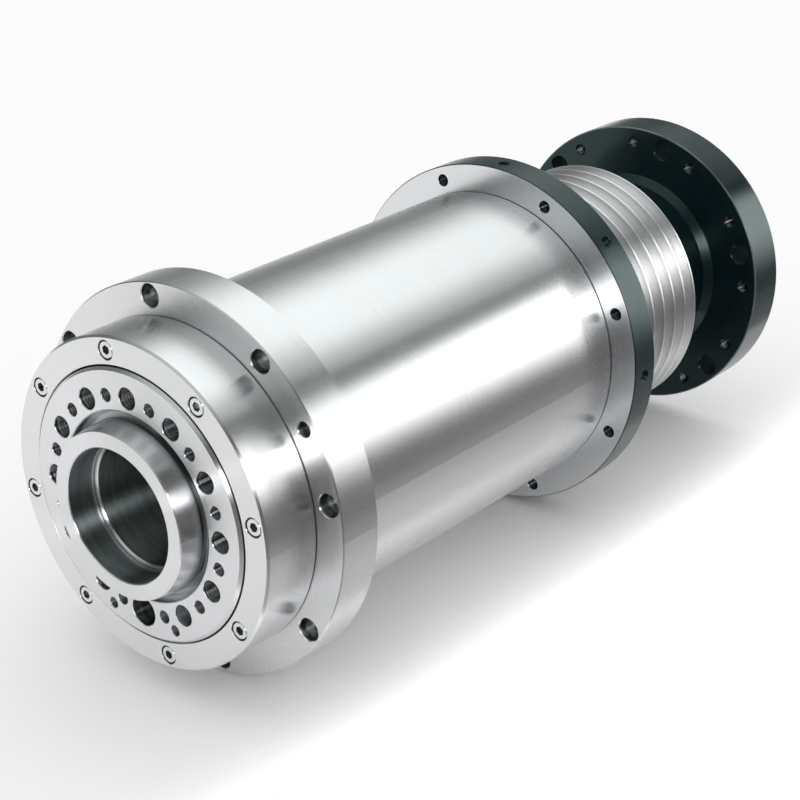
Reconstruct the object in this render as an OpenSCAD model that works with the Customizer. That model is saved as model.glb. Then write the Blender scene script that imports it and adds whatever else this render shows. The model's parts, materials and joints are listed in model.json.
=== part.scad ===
// Belt drive spindle with a short taper nose, size 5, for a lathe headstock.
// Millimetres. The axis is Y, the nose points to -Y and +Z is up.
// The origin is on the axis, in the plane where the flange sits on the headstock.
// Angles are seen from the nose side, from +X towards +Z.

/* [Spindle nose] */
// Large diameter of the short taper, at the spindle face
gauge_d = 82.563; // [81:0.001:84]
// Half angle of the short taper
taper_angle = 7.125; // [5:0.125:9]
// Length of the nose in front of the spindle face
nose_l = 11; // [9:0.5:14]
// Diameter of the spindle flange
face_d = 130.4; // [128:0.2:132]
// Thickness of the spindle flange
face_t = 22; // [20:0.5:24]
// Chamfer round the spindle flange
face_chamfer = 1.4; // [0.4:0.2:1.8]
// How far the spindle face stands in front of the cover
face_proud = 1.4; // [0:0.2:3]
// Outer diameter of the relief groove round the taper
relief_d = 90.8; // [88:0.2:92]
// Depth of the relief groove
relief_depth = 3.5; // [1:0.5:4]
// Angle at which the spindle stands
spindle_clock = 0; // [-30:1:30]

/* [Spindle bore] */
// Diameter of the through bore
bore_d = 60; // [54:1:62]
// Diameter of the wider mouth of the bore
mouth_d = 64; // [63:0.5:68]
// Depth of the wider mouth
mouth_depth = 14.6; // [10:0.2:30]
// Chamfer at the mouth of the bore
mouth_chamfer = 0.4; // [0.4:0.2:1.6]
// Length of the narrow land between the mouth and the bore
mouth_land = 1.2; // [0.8:0.2:2]

/* [Spindle face holes] */
// Bolt circle of the spindle face
bolt_circle_d = 104.8; // [103:0.1:107]
// Tapped chuck bolt holes
bolt_d = 10; // [8:1:11]
// Depth of the chuck bolt holes
bolt_depth = 18; // [12:1:19]
// Tapped balancing holes between the bolt holes
balance_d = 6; // [4:1:7]
// Depth of the balancing holes
balance_depth = 12; // [8:1:16]
// Socket of the drive key
key_hole_d = 14.6; // [12:0.2:15]
// Depth of the drive key socket
key_hole_depth = 10; // [6:1:14]
// Place of the drive key on the bolt circle
key_place = 9; // [0:1:11]
// Circle of the two tapped holes beside the drive key
side_circle_d = 117.8; // [116:0.2:119]
// Diameter of those two holes
side_d = 5; // [4:0.5:6]
// Angle from the drive key to each of them
side_angle = 20; // [18:1:22]

/* [Housing] */
// Diameter of the barrel
barrel_d = 157.5; // [155:0.5:162]
// Length of the barrel behind the headstock face
barrel_l = 203; // [190:1:230]
// Diameter of the headstock flange
flange_d = 189.4; // [188:0.2:196]
// Thickness of the headstock flange
flange_t = 22.5; // [18:0.5:28]
// Distance from the circle of the headstock bolts to the edge of the flange
headstock_edge = 6.7; // [6.2:0.1:7.4]
// Bolts in the headstock flange
headstock_bolts = 8; // [6:2:8]
// Clearance holes for the headstock bolts
headstock_hole_d = 11; // [9:0.5:12]
// Angle of the first headstock bolt and of the first cover screw
first_angle = 10.25; // [0:0.25:22.5]
// Jacking holes that push the flange off the headstock
jack_hole_d = 7; // [5:0.5:8]
// Bore between the two bearing packs
waist_d = 118; // [116:1:121]

/* [Front cover] */
// Diameter of the front cover
cover_d = 158.4; // [156:0.2:161]
// Thickness of the front cover outside the housing
cover_t = 30; // [27:0.5:34]
// Chamfer at the front of the cover
cover_chamfer = 1; // [0.4:0.2:2]
// Depth to which the cover enters the housing
cover_spigot_l = 8.5; // [6:0.5:12]
// Distance from the circle of the cover screws to the cover's rim
cover_screw_edge = 6.7; // [5.6:0.1:7.2]
// Screws in the front cover
cover_screws = 8; // [6:2:8]
// Thread of the cover screws
cover_screw_d = 5; // [4:0.5:5]
// Length of the cover screws under the head
cover_screw_l = 36; // [32:1:38]

/* [Bearings] */
// Bore of the front bearings
front_bore_d = 85; // [84:0.5:86]
// Outer diameter of the front bearings
front_outer_d = 130; // [128:0.5:132]
// Width of the front bearings
front_width = 22; // [20:0.5:24]
// Ball diameter of the front bearings
front_ball_d = 14; // [13:0.25:14.5]
// Bore of the rear bearings
rear_bore_d = 80; // [79:0.5:81]
// Outer diameter of the rear bearings
rear_outer_d = 125; // [123:0.5:128]
// Width of the rear bearings
rear_width = 22; // [20:0.5:24]
// Ball diameter of the rear bearings
rear_ball_d = 13.5; // [12.5:0.25:14]
// Balls in each bearing
balls = 20; // [16:1:20]
// Spacer between the second and the third front bearing
front_spacer_l = 14; // [8:1:20]
// Spacer between the rear bearings
rear_spacer_l = 10; // [6:1:16]

/* [Rear ring] */
// Diameter of the rear ring
ring_d = 187; // [185:0.5:192]
// Thickness of the rear ring
ring_t = 18; // [16:0.5:22]
// Depth to which the rear ring enters the housing
ring_spigot_l = 8; // [6:0.5:10]
// Distance from the circle of its front face holes to its rim
ring_edge = 7.5; // [6.5:0.5:8.5]
// Tapped holes in its front face and in its rim
ring_hole_d = 6; // [5:0.5:7]
// Depth of those holes
ring_hole_depth = 12; // [8:1:14]
// Angle of the first tapped hole in its front face
ring_first_angle = 21; // [10:0.5:34]
// Place of the circle of the ring's own screws in the barrel's wall: 0 at its bore, 1 at its outside
ring_screw_place = 0.5; // [0.46:0.02:0.54]
// Thread of those screws
ring_screw_d = 6; // [5:0.5:6]
// Length of those screws under the head
ring_screw_l = 25; // [22:1:28]

/* [Pulley] */
// Outer diameter of the pulley
pulley_d = 139.5; // [134:0.5:144]
// Belt grooves
grooves = 7; // [5:1:7]
// Distance from groove to groove
groove_pitch = 10.3; // [10:0.1:10.6]
// Width of a groove at its top
groove_w = 8.9; // [8:0.1:9.4]
// Depth of a groove
groove_depth = 8.9; // [7:0.1:9.5]
// Half angle of a groove
groove_angle = 20; // [17:0.5:21]
// Gap between the rear ring and the pulley
pulley_gap = 5.5; // [4:0.5:12]
// Width of the pulley key
key_w = 14; // [10:1:16]
// Height of the pulley key
key_h = 9; // [7:0.5:10]
// Length of the pulley key
key_l = 50; // [40:1:60]

/* [Locknuts] */
// Outer diameter of the front locknut
front_nut_d = 110; // [106:1:114]
// Width of the front locknut
front_nut_w = 22; // [18:1:26]
// Outer diameter of the pulley locknut and of the adapter's hub
hub_d = 101; // [98:0.5:104]
// Width of the pulley locknut
pulley_nut_w = 20; // [16:1:24]
// Depth of the spanner slots
slot_depth = 4; // [2:0.5:5]
// Thread of the set screws
set_screw_d = 8; // [6:1:8]

/* [Cylinder adapter] */
// Diameter of the adapter disc
disc_d = 164.4; // [162:0.2:170]
// Thickness of the adapter disc
disc_t = 24; // [20:0.5:28]
// Length of the adapter's hub
hub_l = 23.3; // [20:0.1:30]
// Length of the cone between hub and disc
cone_l = 3.5; // [1:0.5:5]
// Width of the cone between hub and disc
cone_w = 4.3; // [1:0.1:6]
// Distance from the circle of the disc's holes to its rim
disc_edge = 8.4; // [7.6:0.2:10]
// Tapped holes in the disc
disc_tapped_d = 6; // [5:0.5:7]
// Clearance holes in the disc
disc_hole_d = 11; // [9:0.5:11.5]
// Angle of the first tapped hole in the disc
disc_first_angle = 1.8; // [0:0.2:10]
// Diameter of the recess that centres the cylinder
register_d = 100; // [96:1:120]
// Depth of that recess
register_depth = 4; // [2:0.5:6]

/* [Fits] */
// Radial play between pieces that are fitted together
fit = 0.02; // [0.01:0.01:0.04]
// Radial play of the seals that turn in the housing
seal_gap = 0.3; // [0.2:0.05:0.5]
// Play between a ball and its races
race_gap = 0.2; // [0.15:0.05:0.25]
// Small chamfer on turned edges
edge = 0.5; // [0.3:0.1:0.7]
// Section of the O-rings
o_ring_d = 2.4; // [2:0.2:3]

/* [Hidden] */
$fn = 96;
eps = 0.01;
nose_colour = "#C9CBCF";
steel = "#B9BCC0";
ground = "#D4D6DA";
black_oxide = "#20282B";
alloy = "#C8CACC";

// Stations along the axis, from the nose to the rear
cover_y = -flange_t - cover_t;
face_y = cover_y - face_proud;
tip_y = face_y - nose_l;
face_back_y = face_y + face_t;
front_pack_y = -flange_t + cover_spigot_l;
front_2_y = front_pack_y + front_width;
front_spacer_y = front_2_y + front_width;
front_3_y = front_spacer_y + front_spacer_l;
front_end_y = front_3_y + front_width;
front_nut_end_y = front_end_y + front_nut_w;
rear_end_y = barrel_l - ring_spigot_l;
rear_2_y = rear_end_y - rear_width;
rear_spacer_y = rear_2_y - rear_spacer_l;
rear_1_y = rear_spacer_y - rear_width;
ring_back_y = barrel_l + ring_t;
pulley_y = ring_back_y + pulley_gap;
land_w = groove_pitch - groove_w;
pulley_w = grooves * groove_pitch + land_w;
pulley_back_y = pulley_y + pulley_w;
hub_y = pulley_back_y + pulley_nut_w;
disc_y = hub_y + hub_l;
disc_back_y = disc_y + disc_t;
tail_y = disc_back_y - register_depth;

// Steps between the seats
thread_step = 0.5;
waist_step = 1.3;
tail_step = 1;
front_seal_wall = 9.5;
rear_seal_wall = 9;
flinger_w = 7;
flinger_gap = 1.2;
key_depth = 5.5;
face_gap = 0.4;
web_gap = 1;

// Radii that follow from the seats
face_r = face_d / 2;
tip_r = gauge_d / 2 - nose_l * tan(taper_angle);
mouth_r = mouth_d / 2;
bore_r = bore_d / 2;
land_r = (mouth_r + bore_r) / 2;
bore_y = tip_y + mouth_depth + mouth_land;
front_seat_r = front_bore_d / 2;
front_thread_r = front_seat_r - thread_step;
waist_r = front_seat_r - waist_step;
rear_seat_r = rear_bore_d / 2;
rear_thread_r = rear_seat_r - thread_step;
tail_r = rear_seat_r - tail_step;
front_housing_r = front_outer_d / 2;
rear_housing_r = rear_outer_d / 2;
cover_bore_r = face_r + face_gap;
web_y = face_back_y + web_gap;
front_seal_r = front_seat_r + front_seal_wall;
rear_seal_r = rear_seat_r + rear_seal_wall;
flinger_r = rear_seal_r + flinger_w;
key_r = rear_seat_r - key_depth;
key_y = pulley_y + (pulley_w - key_l) / 2;

// Screw heads
function head_d(d) = 1.7 * d;
function socket_w(d) = d < 6 ? 0.8 * d : 0.84 * d;
head_play = 0.35;
head_sink = 0.3;
o_ring_play = 0.3;

// Holes and screws
headstock_circle_r = flange_d / 2 - headstock_edge;
cover_circle_r = cover_d / 2 - cover_screw_edge;
ring_screw_circle_r = rear_housing_r + ring_screw_place * (barrel_d / 2 - rear_housing_r);
ring_circle_r = ring_d / 2 - ring_edge;
disc_circle_r = disc_d / 2 - disc_edge;
bolt_places = 12;
jack_holes = 2;
ring_screws = 8;
ring_holes = 8;
disc_tapped_holes = 12;
disc_holes = 6;
disc_hole_angle = disc_first_angle + 180 / disc_tapped_holes;
ring_rim_angle = ring_first_angle - 180 / ring_holes;
thread_runout = 2;
cover_thread_depth = cover_screw_l - cover_t + cover_screw_d + head_sink + thread_runout;
ring_thread_depth = ring_screw_l - ring_t + ring_screw_d + head_sink + thread_runout;
nut_screws = 3;
spanner_slots = 4;
spanner_slot_w = 10;
pulley_nut_angle = 15;
screw_sink = 1;
screw_gap = 0.3;
adapter_screws = 2;
adapter_screw_angle = 120;

// Bearings as [bore, outer diameter, width, ball diameter]
front_bearing = [front_bore_d, front_outer_d, front_width, front_ball_d];
rear_bearing = [rear_bore_d, rear_outer_d, rear_width, rear_ball_d];
function pitch_r(b) = (b[0] + b[1]) / 4;
function outer_land_r(b) = pitch_r(b) + 0.23 * b[3];
function inner_land_r(b) = pitch_r(b) - 0.23 * b[3];
shoulder_drop = 1.6;
cage_gap = 0.3;
cage_edge = 1.5;
pocket_gap = 0.15;
ring_chamfer = 1;

// A solid turned about the axis from points of [radius, y]
module turned(points) rotate([-90, 0, 0]) rotate_extrude() polygon(points);

// The same from a 2D child
module turn() rotate([-90, 0, 0]) rotate_extrude() children();

// Section of a ring with a chamfer on each edge
function ring_section(inner, outer, y0, y1, c) = [
    [inner + c, y0], [outer - c, y0], [outer, y0 + c], [outer, y1 - c],
    [outer - c, y1], [inner + c, y1], [inner, y1 - c], [inner, y0 + c]];

module polar(angle, r, y) rotate([0, -angle, 0]) translate([r, y, 0]) children();

module circle_of(count, r, y, first) {
    for (i = [0 : count - 1]) polar(first + i * 360 / count, r, y) children();
}

// A hole that runs from the plane of its mouth towards +Y
module hole(d, depth, c = 0.4) rotate([-90, 0, 0]) translate([0, 0, -eps]) {
    cylinder(d = d, h = depth + eps);
    cylinder(d1 = d + 2 * (c + eps), d2 = d, h = c + eps);
}

// A hole that runs towards -Y
module hole_from_back(d, depth, c = 0.4) mirror([0, 1, 0]) hole(d, depth, c);

// A radial hole or screw that runs inwards from its mouth
module inwards() rotate([0, -90, 0]) children();

module radial_hole(d, depth, c = 0.4) inwards() translate([0, 0, -eps]) {
    cylinder(d = d, h = depth + eps);
    cylinder(d1 = d + 2 * (c + eps), d2 = d, h = c + eps);
}

// Socket head cap screw, with the top of its head at y = 0
module cap_screw(d, l) {
    difference() {
        union() {
            turned([[0, 0], [head_d(d) / 2 - edge, 0], [head_d(d) / 2, edge], [head_d(d) / 2, d], [0, d]]);
            turned([[0, d - eps], [d / 2 - fit, d - eps], [d / 2 - fit, d + l - edge], [d / 2 - edge, d + l], [0, d + l]]);
        }
        rotate([-90, 0, 0]) translate([0, 0, -eps]) cylinder(d = socket_w(d) / cos(30), h = d / 2, $fn = 6);
    }
}

// Socket and counterbore of a cap screw in the piece that it holds
module screw_seat(d, depth) {
    hole(head_d(d) + 2 * head_play, d + head_sink, 0.2);
    hole(d + 0.5, depth, 0);
}

// Set screw that runs inwards from x = 0
module set_screw(d, l) inwards() difference() {
    cylinder(d = d - 2 * fit, h = l);
    translate([0, 0, -eps]) cylinder(d = d / 2 / cos(30), h = d / 2, $fn = 6);
}

module o_ring(outer_r, y) turn() translate([outer_r - o_ring_d / 2 - fit, y]) circle(d = o_ring_d, $fn = 32);

module o_ring_groove(outer_r, y) {
    half_w = o_ring_d / 2 + o_ring_play;
    turned([[outer_r - o_ring_d - 2 * fit, y - half_w], [outer_r + 1, y - half_w],
        [outer_r + 1, y + half_w], [outer_r - o_ring_d - 2 * fit, y + half_w]]);
}

// Angular contact bearing pieces. The low shoulder of the outer ring is towards +Y where open is 1.
module raceway(b, y) translate([pitch_r(b), y + b[2] / 2]) circle(r = b[3] / 2 + race_gap);

module outer_ring(b, y, open) color(ground) turn() difference() {
    polygon(ring_section(outer_land_r(b), b[1] / 2 - fit, y, y + b[2], ring_chamfer));
    raceway(b, y);
    translate([outer_land_r(b) - 1, open > 0 ? y + b[2] / 2 : y - 1]) square([1 + shoulder_drop, b[2] / 2 + 1]);
}

module inner_ring(b, y, open) color(ground) turn() difference() {
    polygon(ring_section(b[0] / 2 + fit, inner_land_r(b), y, y + b[2], ring_chamfer));
    raceway(b, y);
    translate([inner_land_r(b) - shoulder_drop, open > 0 ? y - 1 : y + b[2] / 2])
        square([1 + shoulder_drop, b[2] / 2 + 1]);
}

module cage(b, y) color("#8A5A2C") difference() {
    turned(ring_section(inner_land_r(b) + 2 * cage_gap, outer_land_r(b) - cage_gap,
        y + cage_edge, y + b[2] - cage_edge, edge));
    circle_of(balls, pitch_r(b) + b[3] / 2, y + b[2] / 2, 0) inwards() cylinder(d = b[3] + 2 * pocket_gap, h = b[3]);
}

module ball_set(b, y) color(ground) circle_of(balls, pitch_r(b), y + b[2] / 2, 0) sphere(d = b[3], $fn = 32);

module bearing_spacer(inner, outer, y, l) color(steel) turned(ring_section(inner, outer, y, y + l, edge));

// Housing side

// Barrel and headstock flange in one piece, bored for both bearing packs
module housing() color(steel) difference() {
    turned([[front_housing_r + edge, -flange_t], [flange_d / 2 - edge, -flange_t], [flange_d / 2, -flange_t + edge],
        [flange_d / 2, -edge], [flange_d / 2 - edge, 0], [barrel_d / 2, 0],
        [barrel_d / 2, barrel_l - edge], [barrel_d / 2 - edge, barrel_l], [rear_housing_r + edge, barrel_l],
        [rear_housing_r, barrel_l - edge], [rear_housing_r, rear_1_y], [waist_d / 2, rear_1_y],
        [waist_d / 2, front_end_y], [front_housing_r, front_end_y], [front_housing_r, -flange_t + edge]]);
    circle_of(headstock_bolts, headstock_circle_r, -flange_t, first_angle) hole(headstock_hole_d, flange_t + 1);
    circle_of(headstock_bolts, headstock_circle_r, 0, first_angle) hole_from_back(headstock_hole_d, 1);
    circle_of(jack_holes, headstock_circle_r, -flange_t, first_angle + 180 / headstock_bolts) hole(jack_hole_d, flange_t + 1);
    circle_of(cover_screws, cover_circle_r, -flange_t, first_angle) hole(cover_screw_d, cover_thread_depth);
    circle_of(ring_screws, ring_screw_circle_r, barrel_l, ring_rim_angle) {
        hole_from_back(ring_screw_d, ring_thread_depth);
    }
}

// Cover round the spindle flange, with a centring spigot that holds the bearing pack
module front_cover() color(ground) difference() {
    turned([[cover_bore_r + edge, cover_y], [cover_d / 2 - cover_chamfer, cover_y],
        [cover_d / 2, cover_y + cover_chamfer], [cover_d / 2, -flange_t - edge], [cover_d / 2 - edge, -flange_t],
        [front_housing_r - fit, -flange_t], [front_housing_r - fit, front_pack_y - edge],
        [front_housing_r - fit - edge, front_pack_y], [front_seal_r + seal_gap, front_pack_y],
        [front_seal_r + seal_gap, web_y], [cover_bore_r, web_y], [cover_bore_r, cover_y + edge]]);
    circle_of(cover_screws, cover_circle_r, cover_y, first_angle) screw_seat(cover_screw_d, cover_t + 1);
    o_ring_groove(front_housing_r, -flange_t + cover_spigot_l / 2);
}

module front_cover_screws() color(nose_colour) {
    circle_of(cover_screws, cover_circle_r, cover_y + head_sink, first_angle) cap_screw(cover_screw_d, cover_screw_l);
}

module front_cover_o_ring() color("#222222") o_ring(front_housing_r, -flange_t + cover_spigot_l / 2);

// Ring that closes the rear bearings, with tapped holes in its front face and its rim
module rear_ring() color(black_oxide) difference() {
    turned([[rear_seal_r + seal_gap, rear_end_y], [rear_housing_r - fit - edge, rear_end_y],
        [rear_housing_r - fit, rear_end_y + edge], [rear_housing_r - fit, barrel_l],
        [ring_d / 2 - edge, barrel_l], [ring_d / 2, barrel_l + edge], [ring_d / 2, ring_back_y - edge],
        [ring_d / 2 - edge, ring_back_y], [rear_seal_r + seal_gap + edge, ring_back_y],
        [rear_seal_r + seal_gap, ring_back_y - edge]]);
    circle_of(ring_holes, ring_circle_r, barrel_l, ring_first_angle) hole(ring_hole_d, ring_hole_depth);
    circle_of(ring_holes, ring_d / 2, barrel_l + ring_t / 2, ring_rim_angle) {
        radial_hole(ring_hole_d, ring_hole_depth);
    }
    circle_of(ring_screws, ring_screw_circle_r, ring_back_y, ring_rim_angle) {
        mirror([0, 1, 0]) screw_seat(ring_screw_d, ring_t + 1);
    }
    o_ring_groove(rear_housing_r, barrel_l - ring_spigot_l / 2);
}

module rear_ring_screws() color("#2A2C2E") {
    circle_of(ring_screws, ring_screw_circle_r, ring_back_y - head_sink, ring_rim_angle) {
        mirror([0, 1, 0]) cap_screw(ring_screw_d, ring_screw_l);
    }
}

module rear_ring_o_ring() color("#222222") o_ring(rear_housing_r, barrel_l - ring_spigot_l / 2);

// Spindle side

// Hollow shaft with its nose, its face flange and the seats behind it
module spindle_shaft() color(nose_colour) rotate([0, -spindle_clock, 0]) difference() {
    turned([[mouth_r + mouth_chamfer, tip_y], [tip_r - edge, tip_y],
        [tip_r + edge * tan(taper_angle), tip_y + edge], [gauge_d / 2, face_y],
        [gauge_d / 2, face_y + relief_depth], [relief_d / 2, face_y + relief_depth],
        [relief_d / 2, face_y + edge], [relief_d / 2 + edge, face_y],
        [face_r - face_chamfer, face_y], [face_r, face_y + face_chamfer],
        [face_r, face_back_y - edge], [face_r - edge, face_back_y],
        [front_seat_r, face_back_y], [front_seat_r, front_end_y - edge],
        [front_thread_r, front_end_y], [front_thread_r, front_nut_end_y], [waist_r, front_nut_end_y + edge],
        [waist_r, rear_1_y], [rear_seat_r, rear_1_y], [rear_seat_r, pulley_back_y - edge],
        [rear_thread_r, pulley_back_y], [rear_thread_r, hub_y], [tail_r, hub_y],
        [tail_r, tail_y - edge], [tail_r - edge, tail_y], [bore_r + edge, tail_y], [bore_r, tail_y - edge],
        [bore_r, bore_y + edge], [bore_r + edge, bore_y], [land_r, bore_y], [land_r, tip_y + mouth_depth],
        [mouth_r, tip_y + mouth_depth], [mouth_r, tip_y + mouth_chamfer]]);
    for (i = [0 : bolt_places - 1]) {
        if (i != key_place) polar(i * 360 / bolt_places, bolt_circle_d / 2, face_y) hole(bolt_d, bolt_depth);
    }
    polar(key_place * 360 / bolt_places, bolt_circle_d / 2, face_y) hole(key_hole_d, key_hole_depth);
    circle_of(bolt_places, bolt_circle_d / 2, face_y, 180 / bolt_places) hole(balance_d, balance_depth);
    for (side = [-1, 1]) {
        polar(key_place * 360 / bolt_places + side * side_angle, side_circle_d / 2, face_y) hole(side_d, balance_depth);
    }
    key_slot(key_r, key_r + key_h);
}

// Space of the pulley key between two radii
module key_slot(low, high) {
    translate([-key_w / 2 - fit, key_y + key_w / 2, low]) cube([key_w + 2 * fit, key_l - key_w, high - low]);
    for (y = [key_y + key_w / 2, key_y + key_l - key_w / 2]) {
        translate([0, y, low]) cylinder(d = key_w + 2 * fit, h = high - low);
    }
}

// Ring with three sealing grooves that turns in the cover
module front_labyrinth_ring() color(steel) difference() {
    turned(ring_section(front_seat_r + fit, front_seal_r, face_back_y, front_pack_y, edge));
    seal_grooves(front_seal_r, web_y + 2, front_pack_y - 2);
}

// Three grooves between two planes
module seal_grooves(r, y0, y1) {
    pitch = (y1 - y0) / 3;
    for (i = [0 : 2]) {
        y = y0 + (i + 0.25) * pitch;
        turned([[r - 1.5, y], [r + 1, y], [r + 1, y + pitch / 2], [r - 1.5, y + pitch / 2]]);
    }
}

// Sleeve that clamps the rear bearings, seals in the rear ring and ends in a flinger
module rear_labyrinth_sleeve() color(steel) difference() {
    turned([[rear_seat_r + fit + edge, rear_end_y], [rear_seal_r - edge, rear_end_y],
        [rear_seal_r, rear_end_y + edge], [rear_seal_r, ring_back_y + flinger_gap],
        [flinger_r, ring_back_y + flinger_gap], [flinger_r, pulley_y - edge], [flinger_r - edge, pulley_y],
        [rear_seat_r + fit + edge, pulley_y], [rear_seat_r + fit, pulley_y - edge],
        [rear_seat_r + fit, rear_end_y + edge]]);
    seal_grooves(rear_seal_r, rear_end_y + 3, ring_back_y - 3);
}

// Locknut with four spanner slots and three radial set screws between them
function nut_screw_angle(first) = first + 180 / spanner_slots;

module locknut(inner, outer, y, w, first) color(black_oxide) difference() {
    turned(ring_section(inner, outer, y, y + w, edge));
    circle_of(spanner_slots, outer - slot_depth, y + w / 2, first) {
        translate([0, -w, -spanner_slot_w / 2]) cube([slot_depth + 1, 2 * w, spanner_slot_w]);
    }
    circle_of(nut_screws, outer, y + w / 2, nut_screw_angle(first)) radial_hole(set_screw_d, outer - inner + 1);
}

module nut_set_screws(inner, outer, y, first) color("#3A3C3E") {
    circle_of(nut_screws, outer - screw_sink, y, nut_screw_angle(first)) set_screw(set_screw_d, outer - screw_sink - inner);
}

module front_locknut() locknut(front_thread_r + fit, front_nut_d / 2, front_end_y, front_nut_w, 0);

module front_locknut_screws() {
    nut_set_screws(front_thread_r + screw_gap, front_nut_d / 2, front_end_y + front_nut_w / 2, 0);
}

// Pulley with V grooves, keyed to the shaft
module pulley() color(alloy) rotate([0, -spindle_clock, 0]) difference() {
    turned(pulley_section());
    translate([-key_w / 2 - 2 * fit, pulley_y - 1, 0]) {
        cube([key_w + 4 * fit, pulley_w + 2, key_r + key_h + 0.2]);
    }
}

function groove_points(y) = [
    [pulley_d / 2, y - groove_w / 2],
    [pulley_d / 2 - groove_depth, y - groove_w / 2 + groove_depth * tan(groove_angle)],
    [pulley_d / 2 - groove_depth, y + groove_w / 2 - groove_depth * tan(groove_angle)],
    [pulley_d / 2, y + groove_w / 2]];

function pulley_section() = concat(
    [[rear_seat_r + fit, pulley_y + edge], [rear_seat_r + fit + edge, pulley_y],
        [pulley_d / 2 - edge, pulley_y], [pulley_d / 2, pulley_y + edge]],
    [for (i = [0 : grooves - 1]) each groove_points(pulley_y + land_w / 2 + (i + 0.5) * groove_pitch)],
    [[pulley_d / 2, pulley_back_y - edge], [pulley_d / 2 - edge, pulley_back_y],
        [rear_seat_r + fit + edge, pulley_back_y], [rear_seat_r + fit, pulley_back_y - edge]]);

module pulley_key() color(steel) rotate([0, -spindle_clock, 0]) {
    translate([-key_w / 2, key_y + key_w / 2, key_r]) cube([key_w, key_l - key_w, key_h]);
    for (y = [key_y + key_w / 2, key_y + key_l - key_w / 2]) {
        translate([0, y, key_r]) cylinder(d = key_w, h = key_h);
    }
}

module pulley_locknut() locknut(rear_thread_r + fit, hub_d / 2, pulley_back_y, pulley_nut_w, pulley_nut_angle);

module pulley_locknut_screws() {
    nut_set_screws(rear_thread_r + screw_gap, hub_d / 2, pulley_back_y + pulley_nut_w / 2, pulley_nut_angle);
}

// Disc that carries the actuating cylinder, screwed on the tail of the shaft
module cylinder_adapter() color(black_oxide) rotate([0, -spindle_clock, 0]) difference() {
    turned([[tail_r + fit + edge, hub_y], [hub_d / 2 - edge, hub_y], [hub_d / 2, hub_y + edge],
        [hub_d / 2, disc_y - cone_l], [hub_d / 2 + cone_w, disc_y], [disc_d / 2 - edge, disc_y],
        [disc_d / 2, disc_y + edge], [disc_d / 2, disc_back_y - edge], [disc_d / 2 - edge, disc_back_y],
        [register_d / 2, disc_back_y], [register_d / 2, tail_y], [tail_r + fit + edge, tail_y],
        [tail_r + fit, tail_y - edge], [tail_r + fit, hub_y + edge]]);
    circle_of(disc_tapped_holes, disc_circle_r, disc_y, disc_first_angle) hole(disc_tapped_d, disc_t + 1);
    circle_of(disc_holes, disc_circle_r, disc_y, disc_hole_angle) hole(disc_hole_d, disc_t + 1);
    circle_of(disc_holes, disc_circle_r, disc_back_y, disc_hole_angle) hole_from_back(disc_hole_d, 1);
    circle_of(adapter_screws, hub_d / 2, hub_y + hub_l / 2, adapter_screw_angle) {
        radial_hole(set_screw_d, hub_d / 2 - tail_r + 1);
    }
}

module adapter_set_screws() color("#3A3C3E") rotate([0, -spindle_clock, 0]) {
    circle_of(adapter_screws, hub_d / 2 - screw_sink, hub_y + hub_l / 2, adapter_screw_angle) {
        set_screw(set_screw_d, hub_d / 2 - screw_sink - tail_r - screw_gap);
    }
}

housing();
front_cover();
front_cover_screws();
front_cover_o_ring();
rear_ring();
rear_ring_screws();
rear_ring_o_ring();
outer_ring(front_bearing, front_pack_y, 1);  // front_outer_ring_1
outer_ring(front_bearing, front_2_y, 1);  // front_outer_ring_2
outer_ring(front_bearing, front_3_y, -1);  // front_outer_ring_3
union() {  // front_outer_spacer
    bearing_spacer(outer_land_r(front_bearing), front_housing_r - fit, front_spacer_y, front_spacer_l);
}
outer_ring(rear_bearing, rear_1_y, 1);  // rear_outer_ring_1
outer_ring(rear_bearing, rear_2_y, -1);  // rear_outer_ring_2
union() {  // rear_outer_spacer
    bearing_spacer(outer_land_r(rear_bearing), rear_housing_r - fit, rear_spacer_y, rear_spacer_l);
}
spindle_shaft();
front_labyrinth_ring();
inner_ring(front_bearing, front_pack_y, 1);  // front_inner_ring_1
inner_ring(front_bearing, front_2_y, 1);  // front_inner_ring_2
inner_ring(front_bearing, front_3_y, -1);  // front_inner_ring_3
union() {  // front_inner_spacer
    bearing_spacer(front_seat_r + fit, inner_land_r(front_bearing), front_spacer_y, front_spacer_l);
}
front_locknut();
front_locknut_screws();
inner_ring(rear_bearing, rear_1_y, 1);  // rear_inner_ring_1
inner_ring(rear_bearing, rear_2_y, -1);  // rear_inner_ring_2
union() {  // rear_inner_spacer
    bearing_spacer(rear_seat_r + fit, inner_land_r(rear_bearing), rear_spacer_y, rear_spacer_l);
}
rear_labyrinth_sleeve();
pulley();
pulley_key();
pulley_locknut();
pulley_locknut_screws();
cylinder_adapter();
adapter_set_screws();
cage(front_bearing, front_pack_y);  // front_cage_1
cage(front_bearing, front_2_y);  // front_cage_2
cage(front_bearing, front_3_y);  // front_cage_3
cage(rear_bearing, rear_1_y);  // rear_cage_1
cage(rear_bearing, rear_2_y);  // rear_cage_2
ball_set(front_bearing, front_pack_y);  // front_balls_1
ball_set(front_bearing, front_2_y);  // front_balls_2
ball_set(front_bearing, front_3_y);  // front_balls_3
ball_set(rear_bearing, rear_1_y);  // rear_balls_1
ball_set(rear_bearing, rear_2_y);  // rear_balls_2
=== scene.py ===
"""Belt drive spindle: finishes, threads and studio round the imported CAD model.

Metres, in the frame of the CAD model: the axis is Y, the nose points to -Y and +Z is up. Places on
the part are named in millimetres.
"""

import json
import math

import bmesh
import bpy
from mathutils import Matrix, Vector


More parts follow.
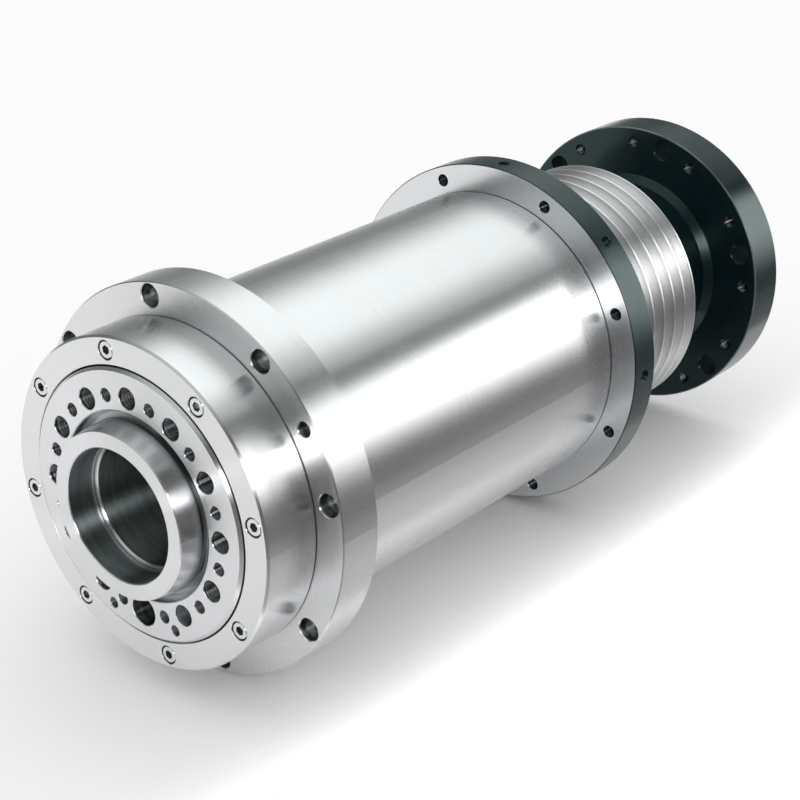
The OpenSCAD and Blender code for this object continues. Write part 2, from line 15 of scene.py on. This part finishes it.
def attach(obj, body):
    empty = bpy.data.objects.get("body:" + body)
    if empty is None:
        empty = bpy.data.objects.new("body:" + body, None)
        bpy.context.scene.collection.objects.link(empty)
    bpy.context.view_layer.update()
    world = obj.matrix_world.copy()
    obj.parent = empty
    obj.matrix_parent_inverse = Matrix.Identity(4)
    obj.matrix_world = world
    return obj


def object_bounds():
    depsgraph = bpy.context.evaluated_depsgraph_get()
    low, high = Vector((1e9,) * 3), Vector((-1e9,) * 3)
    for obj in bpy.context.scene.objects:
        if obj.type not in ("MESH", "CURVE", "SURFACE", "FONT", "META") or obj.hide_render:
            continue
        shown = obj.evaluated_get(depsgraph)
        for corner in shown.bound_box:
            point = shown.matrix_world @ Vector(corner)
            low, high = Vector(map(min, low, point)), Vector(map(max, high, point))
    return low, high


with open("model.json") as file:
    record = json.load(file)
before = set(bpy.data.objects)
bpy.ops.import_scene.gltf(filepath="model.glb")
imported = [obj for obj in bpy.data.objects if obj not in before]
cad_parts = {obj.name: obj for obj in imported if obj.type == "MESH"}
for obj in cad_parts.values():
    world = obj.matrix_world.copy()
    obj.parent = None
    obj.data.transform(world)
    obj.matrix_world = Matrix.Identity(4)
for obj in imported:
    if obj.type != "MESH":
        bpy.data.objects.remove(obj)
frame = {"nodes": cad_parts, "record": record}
cad_box = [list(corner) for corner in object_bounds()]
nodes = frame["nodes"]
scene = bpy.context.scene
MM = 0.001

# The camera: where it stands, the ways out of its back and to its right, its lens and its sensor
CAMERA_PLACE = (0.55588, -0.53253, 0.37397)
CAMERA_BACK = (0.58765, -0.69858, 0.40831)
CAMERA_RIGHT = (0.76905, 0.63908, -0.01342)
LENS, SENSOR_WIDTH = 83.16, 36

# Faces along the axis
SPINDLE_FACE, RING_FACE, DISC_FACE = -53.9, 203.0, 343.3

# Zones round the axis: inner radius, outer radius, front, back
# All but DISC_HOLES are hollows, bores and gaps between parts that the finishes darken with painted
# shade; DISC_HOLES are only made rougher
FLANGE_HOLES = (82.0, 93.9, -22.1, -0.4)
BARREL_TO_RING = (78.2, 79.2, 202.4, 203.2)
COVER_SCREW_SEATS = (67.4, 77.6, -52.25, -23.0)
COVER_BORE = (60.0, 66.4, -52.2, -23.0)
COVER_TO_FLANGE = (78.7, 79.6, -23.1, -22.4)
FACE_HOLES = (46.2, 62.3, -53.6, -34.0)
FACE_RIM = (64.9, 66.0, -52.6, -30.0)
NOSE_RELIEF = (40.9, 45.6, -53.5, -49.0)
BORE = (0.0, 30.6, -48.2, 363.0)
BORE_MOUTH = (31.6, 32.3, -64.4, -50.4)
SCREW_SOCKETS = (66.0, 79.0, -51.85, 0.0)
DISC_HOLES = (67.5, 80.0, 343.9, 366.8)

# Edges that handling keeps bright: radius, place on the axis
RING_BACK_EDGE = (93.5, 221.0)
ADAPTER_EDGES = [(82.2, 343.3), (82.2, 367.3), (50.5, 320.0)]

# Threads: diameter, pitch, depth of the hole
CHUCK_THREAD = (10, 1.5, 15)
BALANCE_THREAD = (6, 1.0, 11)
KEY_THREAD = (5, 0.8, 11)
RING_THREAD = (6, 1.0, 11)
CYLINDER_THREAD = (6, 1.0, 23)
THREAD_START = 0.35
THREAD_HEIGHT = 0.54
THREAD_STEPS = 20

# Circles of the tapped holes: radius
CHUCK_CIRCLE, KEY_CIRCLE, RING_CIRCLE, RING_RIM, CYLINDER_CIRCLE = 52.4, 58.9, 86.0, 93.5, 73.8
KEY_PLACE = 9

# Bands of light on the studio wall: where each starts, is full, fades and ends, and its strength.
# Degrees round the axis from +X towards +Z, except for the low softbox, whose width grows along Y
BACK_SHADE = (130, 150, 172, 190, 0.26)
FOOT = (-36, -16, -4, 14, 0.12)
STRIP = (8, 18, 22, 32, 3.5)
TOP_BOX = (60, 84, 112, 144, 0.9)
LOW_BOX = (-34, -2, 13, 37, 1.26)
LOW_BOX_MIDDLE = 19


# Camera

def add_camera():
    """The camera at the photograph's viewpoint: no shift and no depth of field."""
    back = Vector(CAMERA_BACK).normalized()
    right = Vector(CAMERA_RIGHT)
    right = (right - right.dot(back) * back).normalized()
    up = back.cross(right)
    data = bpy.data.cameras.new("camera")
    data.lens = LENS
    data.sensor_width = SENSOR_WIDTH
    data.clip_start, data.clip_end = 0.05, 50
    camera = bpy.data.objects.new("camera", data)
    turn = Matrix((right, up, back)).transposed().to_4x4()
    camera.matrix_world = Matrix.Translation(CAMERA_PLACE) @ turn
    scene.collection.objects.link(camera)
    scene.camera = camera


# Shader building

class Nodes:
    """Short calls that add nodes to one tree and link them."""

    def __init__(self, tree):
        self.tree = tree

    def put(self, socket, value):
        if isinstance(value, bpy.types.NodeSocket):
            self.tree.links.new(value, socket)
        elif value is not None:
            socket.default_value = value

    def add(self, kind, inputs=(), **settings):
        node = self.tree.nodes.new("ShaderNode" + kind)
        for name, value in settings.items():
            setattr(node, name, value)
        for name, value in dict(inputs).items():
            self.put(node.inputs[name], value)
        return node

    def math(self, operation, a, b=None, c=None, clamp=False):
        node = self.add("Math", operation=operation, use_clamp=clamp)
        for socket, value in zip(node.inputs, (a, b, c)):
            self.put(socket, value)
        return node.outputs[0]

    def times(self, value, *factors):
        for factor in factors:
            value = self.math("MULTIPLY", value, factor)
        return value

    def plus(self, value, *others):
        for other in others:
            value = self.math("ADD", value, other)
        return value

    def scaled(self, value, slope, start):
        """start where value is 0, and start + slope where it is 1."""
        return self.math("MULTIPLY_ADD", value, slope, start)

    def varied(self, value, amount):
        """Goes from half of amount below 1 to half of amount above it."""
        return self.scaled(value, amount, 1 - amount / 2)

    def smooth(self, value, low, high, to_low=0.0, to_high=1.0):
        """Goes smoothly from to_low at low to to_high at high."""
        node = self.add("MapRange", {"Value": value, "From Min": low, "From Max": high,
                                     "To Min": to_low, "To Max": to_high},
                        interpolation_type="SMOOTHSTEP")
        return node.outputs[0]

    def band(self, value, start, full, fade, end, strength):
        """strength between full and fade, and 0 before start and after end."""
        inside = self.times(self.smooth(value, start, full),
                            self.smooth(value, fade, end, 1.0, 0.0))
        return self.times(inside, strength)

    def mix(self, factor, a, b):
        node = self.add("Mix", data_type="RGBA")
        for index, value in ((0, factor), (6, a), (7, b)):
            self.put(node.inputs[index], value)
        return node.outputs[2]

    def place(self, kind="Object"):
        return self.add("TexCoord").outputs[kind]

    def axes(self, kind="Object"):
        """X, Y and Z of a place."""
        return self.add("SeparateXYZ", {"Vector": self.place(kind)}).outputs

    def radius(self, axes):
        """Distance from the axis."""
        across, up = axes["X"], axes["Z"]
        return self.math("SQRT", self.plus(self.times(across, across), self.times(up, up)))

    def angle(self, axes):
        """Angle round the axis from +X towards +Z, in radians."""
        return self.math("ARCTAN2", axes["Z"], axes["X"])

    def noise(self, vector, scale, detail=2.0, roughness=0.5):
        return self.add("TexNoise", {"Vector": vector, "Scale": scale, "Detail": detail,
                                     "Roughness": roughness}).outputs[0]

    def finish(self, kind, shader):
        """Ends the tree with an output node of this kind."""
        self.put(self.add(kind).inputs["Surface"], shader.outputs[0])


def rgb(r, g=None, b=None):
    """A colour. One value alone gives a grey."""
    return (r, r if g is None else g, r if b is None else b, 1.0)


def new_material(name):
    """An empty material, and the calls that fill it."""
    material = bpy.data.materials.new(name)
    material.use_nodes = True
    material.node_tree.nodes.clear()
    return material, Nodes(material.node_tree)


def new_group(name, inputs, outputs):
    """A shader node group. inputs is {name: default}, and outputs is a list of names."""
    tree = bpy.data.node_groups.new(name, "ShaderNodeTree")
    for socket, value in inputs.items():
        made = tree.interface.new_socket(socket, in_out="INPUT", socket_type="NodeSocketFloat")
        made.default_value = value
    for socket in outputs:
        tree.interface.new_socket(socket, in_out="OUTPUT", socket_type="NodeSocketFloat")
    given = tree.nodes.new("NodeGroupInput").outputs
    return Nodes(tree), given, tree.nodes.new("NodeGroupOutput").inputs


def tool_marks_group():
    """Fine lines round the axis, as turning and grinding leave them, slow bands and smudges."""
    build, given, result = new_group(
        "tool_marks", {"Lines per metre": 2500.0, "Bands per metre": 40.0},
        ["Lines", "Bands", "Smudges"])
    axes = build.axes()
    radius, angle = build.radius(axes), build.angle(axes)

    def drawn_round(drift):
        """A place that changes by only drift for each radian round the axis."""
        return build.add("CombineXYZ", {"X": radius, "Y": axes["Y"],
                                        "Z": build.times(angle, drift)}).outputs[0]

    lines = build.noise(drawn_round(0.0006), given["Lines per metre"], 3.0, 0.65)
    bands = build.noise(drawn_round(0.004), given["Bands per metre"])
    smudges = build.noise(build.place(), 38.0, 4.0, 0.6)
    for name, value in (("Lines", lines), ("Bands", bands), ("Smudges", smudges)):
        build.put(result[name], value)
    return build.tree


def bright_edge_group():
    """A mask that is 1 near a circle round the axis, such as a chamfer that stays bright."""
    build, given, result = new_group(
        "bright_edge", {"Radius": 0.08, "Station": 0.0, "Width": 0.0006}, ["Mask"])
    axes = build.axes()
    across = build.math("ABSOLUTE", build.math("SUBTRACT", build.radius(axes), given["Radius"]))
    along = build.math("ABSOLUTE", build.math("SUBTRACT", axes["Y"], given["Station"]))
    build.put(result["Mask"], build.math("LESS_THAN", build.plus(across, along), given["Width"]))
    return build.tree


def zone_group():
    """A mask that is 1 in a ring-shaped space round the axis, where walls of holes lie."""
    build, given, result = new_group(
        "zone", {"Inner": 0.05, "Outer": 0.06, "Front": 0.0, "Back": 0.01}, ["Mask"])
    axes = build.axes()
    radius = build.radius(axes)
    across = build.times(build.math("GREATER_THAN", radius, given["Inner"]),
                         build.math("LESS_THAN", radius, given["Outer"]))
    along = build.times(build.math("GREATER_THAN", axes["Y"], given["Front"]),
                        build.math("LESS_THAN", axes["Y"], given["Back"]))
    build.put(result["Mask"], build.times(across, along))
    return build.tree


tool_marks = tool_marks_group()
bright_edge = bright_edge_group()
zone = zone_group()


class Finish:
    """One material with a Principled shader, and the calls that shape it."""

    def __init__(self, name, metallic=1.0, anisotropic=0.0):
        self.material, self.build = new_material(name)
        self.shader = self.build.add("BsdfPrincipled", {
            "Metallic": metallic, "Anisotropic": anisotropic,
            "Anisotropic Rotation": 0.25 if anisotropic else 0.0})
        self.build.finish("OutputMaterial", self.shader)
        if anisotropic:
            tangent = self.build.add("Tangent", direction_type="RADIAL", axis="Y")
            self.build.put(self.shader.inputs["Tangent"], tangent.outputs[0])

    def marks(self, lines=2500.0, bands=40.0):
        """Lines, bands and smudges."""
        group = self.build.add("Group", node_tree=tool_marks)
        group.inputs["Lines per metre"].default_value = lines
        group.inputs["Bands per metre"].default_value = bands
        return group.outputs["Lines"], group.outputs["Bands"], group.outputs["Smudges"]

    def mask(self, tree, names, sizes):
        """The mask of a group whose inputs are set to sizes in millimetres."""
        group = self.build.add("Group", node_tree=tree)
        for name, size in zip(names, sizes):
            group.inputs[name].default_value = size * MM
        return group.outputs["Mask"]

    def either(self, masks):
        """1 where any of the masks is."""
        joined = masks[0]
        for mask in masks[1:]:
            joined = self.build.math("MAXIMUM", joined, mask)
        return joined

    def edges(self, places, width=0.7):
        """Mask of bright edges: (radius, place on the axis)."""
        return self.either([self.mask(bright_edge, ("Radius", "Station", "Width"), (*place, width))
                            for place in places])

    def zones(self, places):
        """Mask of zones: (inner radius, outer radius, front, back)."""
        return self.either([self.mask(zone, ("Inner", "Outer", "Front", "Back"), place)
                            for place in places])

    def bump(self, height, distance):
        node = self.build.add("Bump", {"Height": height, "Distance": distance, "Strength": 1.0})
        self.build.put(self.shader.inputs["Normal"], node.outputs[0])

    def set(self, **values):
        for name, value in values.items():
            self.build.put(self.shader.inputs[name.replace("_", " ")], value)


def ground_steel(name, colour, roughness, lines=2600.0, depth=0.0000005, tint=0.06, drilled=(),
                 shaded_grooves=(), shaded_bores=(), anisotropic=0.9, streaky=0.1):
    """Bright turned and ground steel: fine lines round the axis, streaks, slow bands and smudges.

    depth is how deep the lines are, and tint and streaky are how much the bands and the streaks
    change the tone. drilled, grooved and bored give the zones of holes, grooves and honed bores,
    whose walls are made rougher and darkened with painted shade.
    """
    uneven = 0.05
    finish = Finish(name, anisotropic=anisotropic)
    build = finish.build
    fine, bands, smudges = finish.marks(lines)
    streaks = finish.marks(bands=330.0)[1]
    tone = build.times(build.varied(bands, tint), build.varied(fine, 0.03),
                       build.varied(smudges, 0.1), build.varied(streaks, streaky))
    base = build.mix(tone, rgb(0), rgb(*colour))
    rough = build.scaled(smudges, uneven, roughness - uneven)
    rough = build.scaled(streaks, uneven, rough)
    # Painted shade: walls of holes, grooves and bores get a dark streaky colour, and more roughness
    for places, darkest_shade, lightest_shade, rougher in (
            (shaded_bores, rgb(0.24, 0.28, 0.28), rgb(0.31, 0.35, 0.35), 0.12),
            (shaded_grooves, rgb(0.12, 0.13, 0.135), rgb(0.50, 0.52, 0.525), 0.06),
            (drilled, rgb(0.08, 0.087, 0.09), rgb(0.17, 0.182, 0.185), 0.12)):
        if places:
            inside = finish.zones(places)
            wall = build.mix(build.smooth(streaks, 0.36, 0.62), darkest_shade, lightest_shade)
            base = build.mix(inside, base, wall)
            rough = build.scaled(inside, rougher, rough)
    finish.set(Base_Color=base, Roughness=rough)
    finish.bump(fine, depth)
    return finish


def blackened(name, edges=(), drilled=()):
    """Black oxide on turned steel: blue-green black, satin, bright where an edge is worn."""
    finish = Finish(name, metallic=0.0)
    build = finish.build
    fine, _, smudges = finish.marks(1800.0)
    base = build.mix(smudges, rgb(0.002, 0.007, 0.009), rgb(0.005, 0.014, 0.017))
    if edges:
        worn = build.times(finish.edges(edges), build.smooth(smudges, 0.3, 0.6, 0.35, 0.9))
        base = build.mix(worn, base, rgb(0.16, 0.19, 0.20))
    rough = build.scaled(smudges, 0.14, 0.12)
    if drilled:
        dull = build.times(finish.zones(drilled), 0.85)
        rough = build.math("MAXIMUM", rough, dull)
    finish.set(Base_Color=base, Roughness=rough, Specular_IOR_Level=0.5,
               Specular_Tint=rgb(0.72, 1.0, 1.0))
    finish.bump(fine, 0.0000015)
    return finish


def ring_finish():
    """Rear ring: blackened all over, then its front face ground bright. Its chamfer stays black."""
    finish = blackened("blackened_ring", [RING_BACK_EDGE])
    build = finish.build
    _, bands, smudges = finish.marks()
    front = build.math("LESS_THAN", build.axes()["Y"], (RING_FACE + 0.08) * MM)
    dark = finish.shader.inputs["Base Color"].links[0].from_socket
    bright = build.mix(build.varied(bands, 0.06), rgb(0), rgb(0.74, 0.75, 0.765))
    finish.set(Base_Color=build.mix(front, dark, bright),
               Roughness=build.scaled(smudges, 0.12, 0.17), Metallic=front)
    return finish


def screw_plate():
    """Zinc plated cap screws: clear grey, with fine mottling, and sockets darkened as painted
    shade.
    """
    finish = Finish("zinc_screws")
    build = finish.build
    mottle = build.noise(build.place(), 900.0, 3.0)
    plate = build.mix(mottle, rgb(0.66, 0.67, 0.69), rgb(0.82, 0.825, 0.83))
    # Painted shade: the sockets of the screws are a darker grey
    finish.set(Base_Color=build.mix(finish.zones([SCREW_SOCKETS]), plate, rgb(0.3, 0.31, 0.315)),
               Roughness=build.scaled(mottle, 0.14, 0.18))
    finish.bump(mottle, 0.000004)
    return finish


def ball_finish():
    """Polished bearing balls with a faint haze of oil."""
    finish = Finish("polished_balls")
    haze = finish.build.noise(finish.build.place(), 260.0, 3.0)
    finish.set(Base_Color=rgb(0.80, 0.81, 0.83), Roughness=finish.build.scaled(haze, 0.06, 0.03))
    return finish


def laminate():
    """Cotton laminate of the cages: brown resin over a fine cloth weave."""
    finish = Finish("cotton_laminate", metallic=0.0)
    build = finish.build
    axes = build.axes()
    yarns = 5200.0
    warp = build.math("SINE", build.times(axes["X"], yarns))
    weft = build.math("SINE", build.times(axes["Z"], yarns))
    weave = build.scaled(build.times(warp, weft), 0.5, 0.5)
    tone = build.noise(build.place(), 90.0, 3.0)
    cloth = build.mix(weave, rgb(0.30, 0.155, 0.055), rgb(0.44, 0.26, 0.11))
    finish.set(Base_Color=build.mix(tone, cloth, rgb(0.36, 0.20, 0.08)),
               Roughness=build.scaled(weave, 0.15, 0.4))
    finish.bump(weave, 0.00002)
    return finish


def rubber():
    """Matt black O-ring rubber with a fine grain."""
    finish = Finish("black_rubber", metallic=0.0)
    build = finish.build
    grain = build.noise(build.place(), 3500.0)
    finish.set(Base_Color=build.mix(grain, rgb(0.018), rgb(0.035)),
               Roughness=build.scaled(grain, 0.2, 0.5))
    finish.bump(grain, 0.00001)
    return finish


def make_finishes():
    """One material for each slot of the record."""
    made = {
        # The drilled, grooved and bored zones below are darkened with painted shade in the steel
        # finishes
        "housing_steel": ground_steel(
            "ground_housing", (0.765, 0.77, 0.78), 0.265, depth=0.00000004, tint=0.1,
            shaded_grooves=[FLANGE_HOLES], drilled=[BARREL_TO_RING], streaky=0.05),
        "cover_steel": ground_steel(
            "ground_cover", (0.78, 0.785, 0.795), 0.25, lines=3000.0, depth=0.0000003,
            drilled=[COVER_SCREW_SEATS, COVER_BORE, COVER_TO_FLANGE]),
        "spindle_steel": ground_steel(
            "ground_spindle", (0.78, 0.785, 0.80), 0.25, lines=3200.0,
            drilled=[FACE_HOLES, FACE_RIM], shaded_grooves=[NOSE_RELIEF], shaded_bores=[BORE, BORE_MOUTH],
            anisotropic=1.0),
        "inner_steel": ground_steel("turned_inside", (0.62, 0.63, 0.645), 0.3, lines=1500.0),
        "bearing_steel": ground_steel("bearing_ground", (0.68, 0.69, 0.70), 0.14, lines=4000.0),
        "pulley_alloy": ground_steel(
            "turned_alloy", (0.80, 0.80, 0.805), 0.31, lines=1700.0, depth=0.0000012, tint=0.12,
            streaky=0.4),
        "screw_steel": screw_plate(),
        "ring_steel": ring_finish(),
        "blackened_steel": blackened("black_oxide", ADAPTER_EDGES, [DISC_HOLES]),
        "ball_steel": ball_finish(),
        "cage_phenolic": laminate(),
        "seal_rubber": rubber(),
    }
    return {slot: finish.material for slot, finish in made.items()}


def dress_nodes(finishes):
    """Gives every CAD node the material of its slot."""
    for part in frame["record"]["subparts"]:
        mesh = nodes[part["node"]].data
        for index in range(len(mesh.materials)):
            mesh.materials[index] = finishes[part["material_slot"]]


def new_object(name, mesh, material):
    """Makes an object of a bmesh, which it frees, and gives it its material."""
    data = bpy.data.meshes.new(name)
    mesh.to_mesh(data)
    mesh.free()
    data.materials.append(material)
    made = bpy.data.objects.new(name, data)
    scene.collection.objects.link(made)
    return made


# Threads

def thread_coil(diameter, pitch, depth):
    """Mesh of one thread: a three-sided rib wound inside a hole whose depth runs along +Y."""
    start = THREAD_START * MM
    turns = int((depth - start) / pitch)
    wall = diameter / 2 - 0.01 * MM
    crest = wall - THREAD_HEIGHT * pitch
    coil = bmesh.new()
    section = coil.faces.new([coil.verts.new((radius, y, 0)) for radius, y in (
        (wall, start), (crest, start + pitch * 0.5), (wall, start + pitch))])
    bmesh.ops.spin(coil, geom=[section], axis=(0, 1, 0), cent=(0, 0, 0),
                   steps=THREAD_STEPS * turns, angle=2 * math.pi * turns,
                   dvec=(0, pitch / THREAD_STEPS, 0), use_duplicate=False)
    bmesh.ops.recalc_face_normals(coil, faces=coil.faces[:])
    data = bpy.data.meshes.new("coil")
    coil.to_mesh(data)
    coil.free()
    return data


def thread_piece(name, body, material, holes):
    """One piece with the threads of all the holes: (place, thread)."""
    mesh = bmesh.new()
    coils = {}
    for place, thread in holes:
        if thread not in coils:
            coils[thread] = thread_coil(*(size * MM for size in thread))
        before = len(mesh.verts)
        mesh.from_mesh(coils[thread])
        mesh.verts.ensure_lookup_table()
        bmesh.ops.transform(mesh, matrix=place, verts=mesh.verts[before:])
    for data in coils.values():
        bpy.data.meshes.remove(data)
    piece = new_object(name, mesh, material)
    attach(piece, body)


def face_hole(angle, radius, station):
    """Place of a hole in a face, whose depth runs along +Y. Degrees and millimetres."""
    turn = Matrix.Rotation(-math.radians(angle), 4, "Y")
    return turn @ Matrix.Translation((radius * MM, station * MM, 0))


def rim_hole(angle, radius, station):
    """Place of a hole in a rim, whose depth runs towards the axis."""
    return face_hole(angle, radius, station) @ Matrix.Rotation(math.radians(90), 4, "Z")


def add_threads():
    """Threads of the tapped holes: cut steel painted dark as shade in the holes, and black oxide in
    the ring.
    """
    # Painted shade: the cut threads are dark grey, as the inside of the holes looks in shade
    cut = ground_steel("shaded_cut_threads", (0.13, 0.138, 0.142), 0.3).material
    black = blackened("black_threads").material

    def circle(kind, count, first, radius, station, thread):
        return [(kind(first + 360 / count * i, radius, station), thread) for i in range(count)]

    chuck = circle(face_hole, 12, 0, CHUCK_CIRCLE, SPINDLE_FACE, CHUCK_THREAD)
    del chuck[KEY_PLACE]
    balance = circle(face_hole, 12, 15, CHUCK_CIRCLE, SPINDLE_FACE, BALANCE_THREAD)
    key_sides = [(face_hole(270 + side, KEY_CIRCLE, SPINDLE_FACE), KEY_THREAD)
                 for side in (-20, 20)]
    thread_piece("spindle_face_threads", "spindle", cut,
                 chuck + balance + key_sides)
    ring = circle(face_hole, 8, 21, RING_CIRCLE, RING_FACE, RING_THREAD)
    ring += circle(rim_hole, 8, -1.5, RING_RIM, RING_FACE + 9, RING_THREAD)
    thread_piece("rear_ring_threads", "housing", black, ring)
    disc = circle(face_hole, 12, 1.8, CYLINDER_CIRCLE, DISC_FACE, CYLINDER_THREAD)
    thread_piece("cylinder_adapter_threads", "spindle", cut, disc)


# Studio

def seen_ray(build):
    """1 for rays from the camera and for those that metal and glass send on."""
    path = build.add("LightPath").outputs
    seen = build.math("MAXIMUM", path["Is Camera Ray"], path["Is Glossy Ray"])
    return build.math("MAXIMUM", seen, path["Is Transmission Ray"])


def add_floor():
    """Pale table top under the spindle, which keeps its shadow.

    It glows a little for the camera and for the metal, more towards its right edge, where it has to
    meet the white behind it.
    """
    low = cad_box[0][2] - 0.2 * MM
    left, right, end = -3.0, 0.1, 3.0
    ramp_start, ramp_width, edge_glow, glow = 0.04, 0.06, 0.45, 0.06
    mesh = bmesh.new()
    mesh.faces.new([mesh.verts.new(corner) for corner in (
        (left, -end, low), (right, -end, low), (right, end, low), (left, end, low))])
    material, build = new_material("pale_floor")
    matt = build.add("BsdfDiffuse", {"Color": rgb(0.86)})
    edge = build.math("MULTIPLY_ADD", build.axes()["X"], 1 / ramp_width,
                      -ramp_start / ramp_width, clamp=True)
    edge = build.times(build.math("POWER", edge, 3.0), edge_glow)
    strength = build.times(seen_ray(build), build.plus(edge, glow))
    lift = build.add("Emission", {"Color": rgb(1.0), "Strength": strength})
    both = build.add("AddShader")
    build.put(both.inputs[0], matt.outputs[0])
    build.put(both.inputs[1], lift.outputs[0])
    build.finish("OutputMaterial", both)
    new_object("floor", mesh, material)


def add_studio_wall():
    """Curved wall round the table with a low softbox at the right and a large one overhead.

    It is out of the camera's sight. Its light changes with the angle round the axis, in degrees,
    and along Y.
    """
    radius, ends, steps = 3.0, (-20.0, 9.0), 98
    first_angle, span = 100, 295
    mesh = bmesh.new()
    start = Matrix.Rotation(math.radians(first_angle), 3, "Y") @ Vector((radius, 0, 0))
    line = [mesh.verts.new(start + Vector((0, y, 0))) for y in ends]
    edge = mesh.edges.new(line)
    bmesh.ops.spin(mesh, geom=[edge] + line, axis=(0, 1, 0), cent=(0, 0, 0), steps=steps,
                   angle=-math.radians(span), use_duplicate=False)
    material, build = new_material("studio_wall")
    material.cycles.emission_sampling = "NONE"
    axes = build.axes()
    y = axes["Y"]
    angle = build.times(build.angle(axes), 180 / math.pi)

    low_part = build.smooth(angle, -50, -20, 0.6, 0.15)
    high_part = build.smooth(angle, 56, 60, 0.0, 0.36)
    wall = build.math("SUBTRACT", build.plus(low_part, high_part), build.band(angle, *BACK_SHADE))
    wall = build.times(wall, build.smooth(y, -1.5, 2.0, 0.55, 1.0),
                       build.smooth(y, 3.8, 5.0, 1.0, 0.7))
    foot = build.times(build.band(angle, *FOOT), build.smooth(y, 2.3, 4.3, 0.2, 1.8))

    reach = build.math("MINIMUM", build.math("MAXIMUM", y, 1.0), 4.1)
    spread = build.scaled(reach, 0.25, 0.25)
    across = build.math("DIVIDE", build.math("SUBTRACT", angle, LOW_BOX_MIDDLE), spread)
    cut = build.times(build.smooth(angle, 38, 52), build.smooth(y, 3.7, 3.95))
    low_box = build.times(build.band(across, *LOW_BOX), build.smooth(y, 3.6, 3.95, 1.0, 4.4),
                          build.math("SUBTRACT", 1.0, cut), build.smooth(y, 4.0, 5.4, 1.0, 0.33))
    strip = build.times(build.band(angle, *STRIP), build.smooth(y, -1.6, -0.8, 1.0, 0.0))
    top_box = build.times(build.band(angle, *TOP_BOX), build.smooth(y, 3.4, 5.0, 1.0, 0.1),
                          build.smooth(y, 0.6, 2.2, 0.4, 1.0))

    tint = build.mix(build.smooth(angle, 20, 55), rgb(1.0), rgb(0.955, 1.0, 0.985))
    strength = build.plus(wall, foot, low_box, strip, top_box)
    build.finish("OutputMaterial", build.add("Emission", {"Color": tint, "Strength": strength}))
    made = new_object("studio_wall", mesh, material)
    made.visible_camera = False
    made.visible_diffuse = False
    made.visible_shadow = False


def add_world():
    """Soft light, strongest from above, that shows white to the camera and to the metal."""
    world = bpy.data.worlds.new("studio")
    world.use_nodes = True
    world.node_tree.nodes.clear()
    scene.world = world
    build = Nodes(world.node_tree)
    soft = build.smooth(build.axes("Generated")["Z"], -0.2, 0.9, 0.33, 1.23)
    seen = seen_ray(build)
    unseen = build.math("SUBTRACT", 1.0, seen)
    strength = build.plus(seen, build.times(unseen, soft))
    white = build.add("Background", {"Color": rgb(1.0), "Strength": strength})
    build.finish("OutputWorld", white)


add_camera()
dress_nodes(make_finishes())
add_threads()
add_floor()
add_studio_wall()
add_world()
scene.view_settings.view_transform = "Standard"
